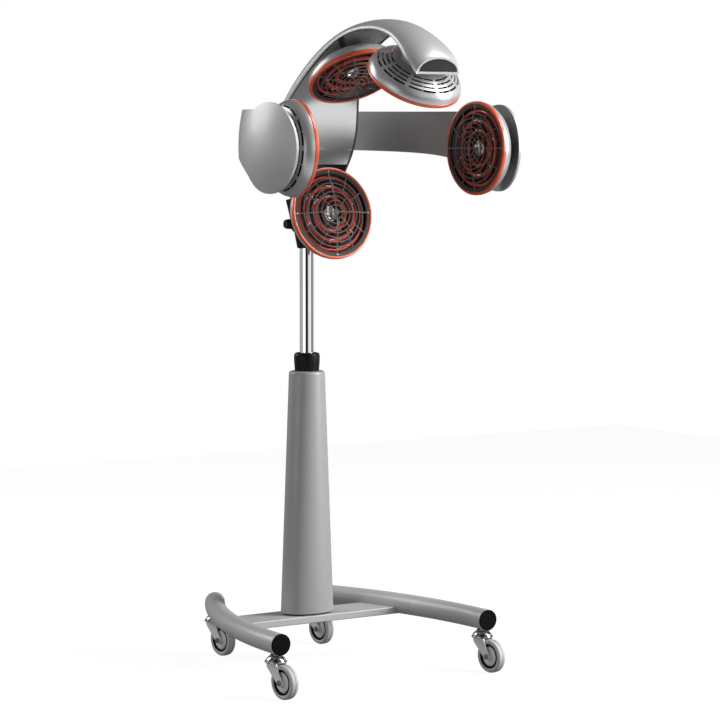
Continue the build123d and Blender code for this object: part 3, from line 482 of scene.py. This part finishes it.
def rim_mesh():
    shape = Shape()
    corners = [(99.1, -8.5), (101.6, -8.5), (102.4, -7.6), (102.4, -1.8), (101.2, -0.2),
               (99.2, 0.0), (97.2, -0.2), (96.5, -0.8), (96.5, -1.3), (99.1, -1.3)]
    shape.lathe(rounded_profile(corners, 0.6), ORANGE, 180, ring=True)
    return shape.mesh("lamp_rim", 50)


def dome_height(radius):
    ball = (DOME_RADIUS ** 2 + DOME_RISE ** 2) / (2 * DOME_RISE)
    return DOME_RISE - ball - DOME_SINK + math.sqrt(ball ** 2 - radius ** 2)


def grille_mesh():
    """Flat frame with screws, seven rings, four full spokes, four inner and eight outer ones."""
    shape = Shape()
    edge = [(87.6, -3.7), (98.0, -3.7), (98.0, -2.1), (97.2, -1.4), (88.8, -1.4), (87.9, -1.9),
            (87.6, -2.4)]
    shape.lathe(rounded_profile(edge, 0.5, 2), FRAME, 180, ring=True)
    for k in range(RING_COUNT):
        radius = RING_START + RING_STEP * k
        top = dome_height(radius)
        section = [(radius - WIRE_HALF, top - 2.2), (radius + WIRE_HALF, top - 2.2),
                   (radius + WIRE_HALF, top - 0.4), (radius + WIRE_HALF * 0.4, top),
                   (radius - WIRE_HALF * 0.4, top), (radius - WIRE_HALF, top - 0.4)]
        shape.lathe(section, GRILLE, 144, ring=True)
    top = dome_height(0)
    boss = [(0.01, top - 2.4), (6.2, top - 2.4), (6.8, top - 1.8), (6.8, top - 0.4),
            (6.0, top + 0.3), (0.01, top + 0.6)]
    shape.lathe(boss, GRILLE, 48)

    def spoke(degrees, start, end, width):
        direction = Vector(polar(1.0, degrees))
        across = Vector((-direction.y, direction.x, 0))
        steps = max(2, int((end - start) / 8))
        path = []
        for s in range(steps + 1):
            r = start + (end - start) * s / steps
            path.append(direction * r + Vector((0, 0, dome_height(min(r, DOME_RADIUS)) - 1.1)))
        h = width / 2
        section = [(-h, -0.9), (h, -0.9), (h, 0.7), (h * 0.5, 1.0), (-h * 0.5, 1.0), (-h, 0.7)]
        shape.sweep(path, section, GRILLE, across)

    head = [(0.01, -1.4), (2.5, -1.4), (2.6, -0.9), (2.0, -0.2), (0.9, 0.1), (0.01, 0.1)]
    recess = [(-1.5, -0.3), (1.5, -0.3), (1.5, 0.3), (-1.5, 0.3)]
    for degrees in range(0, 360, 90):
        spoke(degrees, SPOKE_START, SPOKE_END, 2.6)
        spoke(degrees + 45, RING_START, SPOKE_MIDDLE, 1.9)
        spoke(degrees + 30, SPOKE_MIDDLE, SPOKE_END, 1.9)
        spoke(degrees + 60, SPOKE_MIDDLE, SPOKE_END, 1.9)
        screw = spin(degrees, 92.2)
        shape.lathe(head, STEEL, 20, screw)
        for cross in (0, 90):
            shape.prism(recess, 0.0, 0.16, BLACK, screw @ spin(cross + 20))
    return shape.mesh("lamp_grille")


def emitter_mesh():
    """Stepped reflector, carrier rings, three heating rings, clips, posts and a centre cup."""
    shape = Shape()
    dish = [(98.6, -7.6), (95.0, -7.8)]
    for i in range(1, DISH_STEPS + 1):
        t = i / DISH_STEPS
        radius = DISH_RADIUS - DISH_RUN * t
        depth = DISH_Z - DISH_DEPTH * math.sin(t * math.pi / 2)
        dish += [(radius + 2.6, depth - 0.2), (radius + 0.6, depth - 1.0)]
    dish += [(22.0, -27.3), (0.01, -27.3)]
    # The dish carries the painted red reflection of the heating rings.
    shape.lathe(dish, PAINTED_RED_REFLECTION, 120)
    shape.lathe([(r, z - 0.9) for r, z in dish], BLACK, 120)
    for low, high, z in CARRIER_RINGS:
        section = [(low, z - 1.5), (high, z - 1.5), (high, z), (low, z)]
        shape.lathe(rounded_profile(section, 0.4, 2), BLACK, 96, ring=True)
    for radius, tube, z in HEATING_RINGS:
        shape.lathe(circle(tube, 14, (radius, z)), GLOW, 120, ring=True)
    clip = [(-3.0, -2.2), (3.0, -2.2), (3.0, 2.2), (-3.0, 2.2)]
    for degrees in range(0, 360, 60):
        shape.prism(clip, -8.6, -6.6, TRIM, spin(degrees + 20, 60), 0.6)
        outer_post = [(0.01, -25.0), (1.6, -25.0), (1.6, -8.0), (0.01, -8.0)]
        shape.lathe(outer_post, STEEL, 12, spin(degrees + 20, 66))
        inner_post = [(1.5, -24.0), (1.5, -10.0), (0.01, -10.0)]
        shape.lathe(inner_post, STEEL, 12, spin(degrees, 43.5))
    cup = [(18.0, -26.0), (17.2, -17.0), (16.2, -12.6), (15.2, -12.0), (14.0, -13.0),
           (10.5, -19.0), (5.4, -22.0), (0.01, -22.6)]
    shape.lathe(cup, MIRROR, 72)
    return shape.mesh("lamp_emitter", 24)


LAMP_MESHES = {"housing": housing_mesh(), "rim": rim_mesh(), "grille": grille_mesh(),
               "emitter": emitter_mesh()}
LAMP_SLOTS = {"housing": "housing_grey", "rim": "rim_orange", "grille": "grille_grey",
              "emitter": "reflector"}
for name in LAMPS:
    for part, mesh in LAMP_MESHES.items():
        place(f"dressed_{name}_{part}", mesh, name, [f"{name}_{part}"], LAMP_SLOTS[part],
              lamp_matrix(name))

# ------------------------------------------------------------------ casters
LEG_RADIUS, LEG_CENTRE_X, LEG_FRONT_Y = 1040.0, -773.0, -325.0
CASTER_HEADING = 7.5          # degrees
TRAIL, WHEEL_RADIUS = 30.0, 36.5
FRONT_ANGLE = math.degrees(20.0 / LEG_RADIUS)
REAR_ANGLE = math.degrees(math.asin(512.0 / LEG_RADIUS))
CASTERS = {  # angle of the stem along the leg's arc, and side
    "front_right": (FRONT_ANGLE, 1),
    "front_left": (FRONT_ANGLE, -1),
    "rear_right": (REAR_ANGLE, 1),
    "rear_left": (REAR_ANGLE, -1),
}
SIDEWAYS = Matrix(((0, 0, 1, 0), (1, 0, 0, 0), (0, 1, 0, 0), (0, 0, 0, 1)))  # YZ, depth along X
AXLE = Matrix.Translation((0, -TRAIL, WHEEL_RADIUS)) @ Matrix.Rotation(math.pi / 2, 4, "Y")
BOTH_SIDES = [AXLE @ Matrix.Scale(side, 4, (0, 0, 1)) for side in (1, -1)]
FORK_EYE = 9.2                # radius of the fork plates around the axle


def caster_matrix(name):
    angle, side = CASTERS[name]
    x = side * (LEG_CENTRE_X + LEG_RADIUS * math.cos(math.radians(angle)))
    y = LEG_FRONT_Y + LEG_RADIUS * math.sin(math.radians(angle))
    turn = Matrix.Rotation(math.radians(CASTER_HEADING), 4, "Z")
    return Matrix.Translation((x * MM, y * MM + MAST_Y, 0)) @ turn


def fork_mesh():
    """Plated swivel dome over two pressed side plates."""
    shape = Shape()
    dome = [(5.6, 75.0), (22.6, 75.0), (23.6, 75.5), (24.0, 76.4), (24.0, 77.3), (23.5, 78.2),
            (22.4, 78.7), (21.6, 79.1), (21.2, 80.2), (20.3, 82.4), (18.4, 85.0), (15.6, 87.4),
            (12.6, 89.2), (11.0, 90.0), (5.6, 90.0)]
    shape.lathe(dome, ZINC, 72)
    outline = [(-19, 75.9), (15, 75.9), (14.2, 66.0)]
    for degrees in range(-50, -201, -10):
        y, z, _ = polar(FORK_EYE, degrees)
        outline.append((-TRAIL + y, WHEEL_RADIUS + z))
    outline = rounded_profile(outline + [(-21.5, 66.5)], 3.0, 4)
    for low in (12.0, -14.5):
        shape.prism(outline, low, low + 2.5, PLATE, SIDEWAYS, 0.4)
    return shape.mesh("caster_fork")


def axle_mesh():
    shape = Shape()
    for flip in BOTH_SIDES:
        shape.prism(circle(6.4, 6), 14.5, 18.9, STEEL, flip, 0.7)
        shape.lathe([(0.01, 18.9), (4.6, 18.9), (4.2, 19.0), (0.01, 19.0)], STEEL, 24, flip)
    shape.lathe([(4.0, -14.5), (4.0, 14.5)], STEEL, 24, AXLE)
    return shape.mesh("caster_axle", 25)


def tyre_mesh():
    shape = Shape()
    half = [(27.1, -9.0), (28.0, -9.6), (30.0, -10.0), (33.0, -10.0), (34.9, -9.0), (36.0, -7.2),
            (36.5, -4.6), (36.5, -1.5), (35.6, -1.0), (35.3, 0.0)]
    profile = half + [(r, -z) for r, z in reversed(half[:-1])]
    shape.lathe(rounded_profile(profile, 0.8, 2), TYRE, 120, AXLE, ring=True)
    return shape.mesh("caster_tyre", 40)


def hub_mesh():
    """Light stepped disc inside a black seat ring."""
    shape = Shape()
    disc = [(4.05, 11.7), (8.4, 11.7), (9.0, 11.2), (9.0, 8.0), (9.6, 7.5), (19.4, 7.5),
            (20.2, 7.2), (21.6, 5.7), (22.2, 5.5)]
    seat = [(22.2, 5.5), (22.5, 8.2), (23.0, 8.7), (26.4, 8.9), (27.0, 9.0)]
    for flip in BOTH_SIDES:
        shape.lathe(disc, HUB, 96, flip)
        shape.lathe(seat, RUBBER, 96, flip)
    shape.lathe([(27.0, -9.0), (27.0, 9.0)], RUBBER, 96, AXLE)
    shape.lathe([(4.05, -11.7), (4.05, 11.7)], HUB, 24, AXLE)
    return shape.mesh("caster_hub", 25)


CASTER_MESHES = {"fork": fork_mesh(), "axle": axle_mesh(), "tyre": tyre_mesh(), "hub": hub_mesh()}
CASTER_SLOTS = {"fork": "caster_plate", "axle": "steel", "tyre": "tyre_grey", "hub": "hub_metal"}
for name in CASTERS:
    for part, mesh in CASTER_MESHES.items():
        body = f"caster_{name}" if part in ("fork", "axle") else f"wheel_{name}"
        place(f"dressed_caster_{part}_{name}", mesh, body, [f"caster_{part}_{name}"],
              CASTER_SLOTS[part], caster_matrix(name))

# ------------------------------------------------------------------ camera
CAMERA_PLACE = (-3.1234, -5.0379 + MAST_Y, 1.1544)
CAMERA_YAW, CAMERA_PITCH = math.radians(32.95), math.radians(3.323)
LENS, SENSOR, SHIFT_Y, CLIP_END = 132.47, 36, -0.08, 60

camera_data = bpy.data.cameras.new("camera")
camera_data.lens = LENS
camera_data.sensor_width = SENSOR
camera_data.shift_y = SHIFT_Y
camera_data.clip_end = CLIP_END
camera = add_object("camera", camera_data)
camera.location = CAMERA_PLACE
camera.rotation_euler = (math.pi / 2 - CAMERA_PITCH, 0, -CAMERA_YAW)
scene.camera = camera
scene.view_settings.view_transform = "Standard"

# ------------------------------------------------------------------ studio
# What polished surfaces see round the studio: degrees from -Y towards +X, and how bright.
STUDIO = ((-180, 0.30), (-150, 0.50), (-125, 0.42), (-108, 0.5), (-92, 0.75), (-80, 1.0),
          (-64, 0.9), (-56, 0.5), (-50, 0.02), (-20, 0.02), (-12, 0.35), (-3, 0.95),
          (36, 1.0), (44, 0.6), (52, 0.12), (74, 0.12), (88, 0.8), (112, 0.8), (128, 0.12),
          (180, 0.12))
# How the studio darkens upwards and downwards: between which two heights of a direction
# (its Z, from -1 to 1), and the brightness at each of the two.
CEILING = (0.12, 0.50, 1.0, 0.12)
BELOW = (-0.15, -0.075, 0.12, 1.0)
AMBIENT = 0.42                # brightness of the studio for matt surfaces

FLOOR_HALF = 3.8              # half of the floor's side, in metres
FLOOR_WHITE, FLOOR_DIFFUSE = 0.93, 0.12   # for the camera, and for the lights' shadows
# The floor in front, as polished surfaces see it: metres along Y, and how bright.
FLOOR_STRIP = ((-2.7, 0.12), (-1.5, 0.9), (-1.2, 1.0), (-0.82, 1.0), (-0.58, 0.10), (0.9, 0.08))
STRIP_SCALE, STRIP_START = 0.25, 0.75     # from metres along Y to the ramp's 0 to 1


def grey_ramp(tree, source, stops):
    return ramp_node(tree, source, [(place, (grey, grey, grey)) for place, grey in stops])


def rays_of(tree):
    """A tree's light path, and 1 for the rays that come straight from the camera."""
    path = tree.nodes.new("ShaderNodeLightPath").outputs
    return path, math_node(tree, "MAXIMUM", path["Is Camera Ray"], path["Is Transmission Ray"])


def axes_of(tree, coordinates):
    split = tree.nodes.new("ShaderNodeSeparateXYZ")
    source = tree.nodes.new("ShaderNodeTexCoord").outputs[coordinates]
    tree.links.new(source, split.inputs[0])
    return split.outputs


def make_world():
    """White for the camera, the studio for polished surfaces and plain ambient for matt ones."""
    world = bpy.data.worlds.new("studio")
    scene.world = world
    world.use_nodes = True
    tree = world.node_tree
    background = tree.nodes["Background"]
    background.inputs["Color"].default_value = (1, 1, 1, 1)
    x, y, z = axes_of(tree, "Generated")
    turn = math_node(tree, "ARCTAN2", x, math_node(tree, "MULTIPLY", y, -1.0))
    share = math_node(tree, "MULTIPLY_ADD", turn, 1 / TAU, 0.5)
    around = grey_ramp(tree, share, [((degrees + 180) / 360, grey) for degrees, grey in STUDIO])
    ceiling = range_node(tree, z, *CEILING, "SMOOTHSTEP")
    below = range_node(tree, z, *BELOW)
    path, seen = rays_of(tree)
    mirrored = math_node(tree, "MULTIPLY", path["Is Glossy Ray"], around)
    mirrored = math_node(tree, "MULTIPLY", mirrored, ceiling)
    mirrored = math_node(tree, "MULTIPLY", mirrored, below)
    lit = math_node(tree, "MULTIPLY", path["Is Diffuse Ray"], AMBIENT)
    lit = math_node(tree, "MULTIPLY", lit, ceiling)
    strength = math_node(tree, "MAXIMUM", math_node(tree, "MAXIMUM", seen, mirrored), lit)
    tree.links.new(strength, background.inputs["Strength"])


def floor_look():
    """White for the camera, a bright strip for polished surfaces, and faint shadows."""
    material = bpy.data.materials.new("floor_white")
    material.use_nodes = True
    tree = material.node_tree
    tree.nodes.clear()
    output = tree.nodes.new("ShaderNodeOutputMaterial")
    diffuse = tree.nodes.new("ShaderNodeBsdfDiffuse")
    diffuse.inputs["Color"].default_value = (FLOOR_DIFFUSE, FLOOR_DIFFUSE, FLOOR_DIFFUSE, 1)
    emission = tree.nodes.new("ShaderNodeEmission")
    both = tree.nodes.new("ShaderNodeAddShader")
    path, seen = rays_of(tree)
    white = math_node(tree, "MULTIPLY", seen, FLOOR_WHITE)
    y = axes_of(tree, "Object")[1]
    share = math_node(tree, "MULTIPLY_ADD", y, STRIP_SCALE, STRIP_START)
    stops = [(metres * STRIP_SCALE + STRIP_START, grey) for metres, grey in FLOOR_STRIP]
    mirrored = math_node(tree, "MULTIPLY", path["Is Glossy Ray"], grey_ramp(tree, share, stops))
    strength = math_node(tree, "MAXIMUM", white, mirrored)
    tree.links.new(strength, emission.inputs["Strength"])
    tree.links.new(diffuse.outputs[0], both.inputs[0])
    tree.links.new(emission.outputs[0], both.inputs[1])
    tree.links.new(both.outputs[0], output.inputs["Surface"])
    return material


def area_light(name, location, target, size, power):
    data = bpy.data.lights.new(name, "AREA")
    data.shape = "RECTANGLE"
    data.size, data.size_y = size
    data.energy = power
    light = add_object(name, data)
    light.location = location
    away = Vector(location) - Vector(target)
    light.rotation_euler = away.to_track_quat("Z", "Y").to_euler()


make_world()

floor_mesh = bpy.data.meshes.new("floor")
floor_corners = [(-FLOOR_HALF, -FLOOR_HALF, 0), (FLOOR_HALF, -FLOOR_HALF, 0),
                 (FLOOR_HALF, FLOOR_HALF, 0), (-FLOOR_HALF, FLOOR_HALF, 0)]
floor_mesh.from_pydata(floor_corners, [], [(0, 1, 2, 3)])
floor_mesh.materials.append(floor_look())
floor = add_object("floor", floor_mesh)

# Place, target, size (all in metres) and power in watts.
area_light("key", (3.25, -2.73, 2.1), (0, 0, 0.95), (1.4, 2.6), 215)
area_light("fill", (-2.3, 3.4, 2.8), (0, 0, 0.9), (2.4, 2.6), 80)
area_light("high", (1.6, -1.3, 3.6), (0, 0, 0.9), (1.6, 1.6), 60)
area_light("left", (-3.6, -1.0, 0.9), (0, 0, 0.7), (2.0, 1.6), 14)
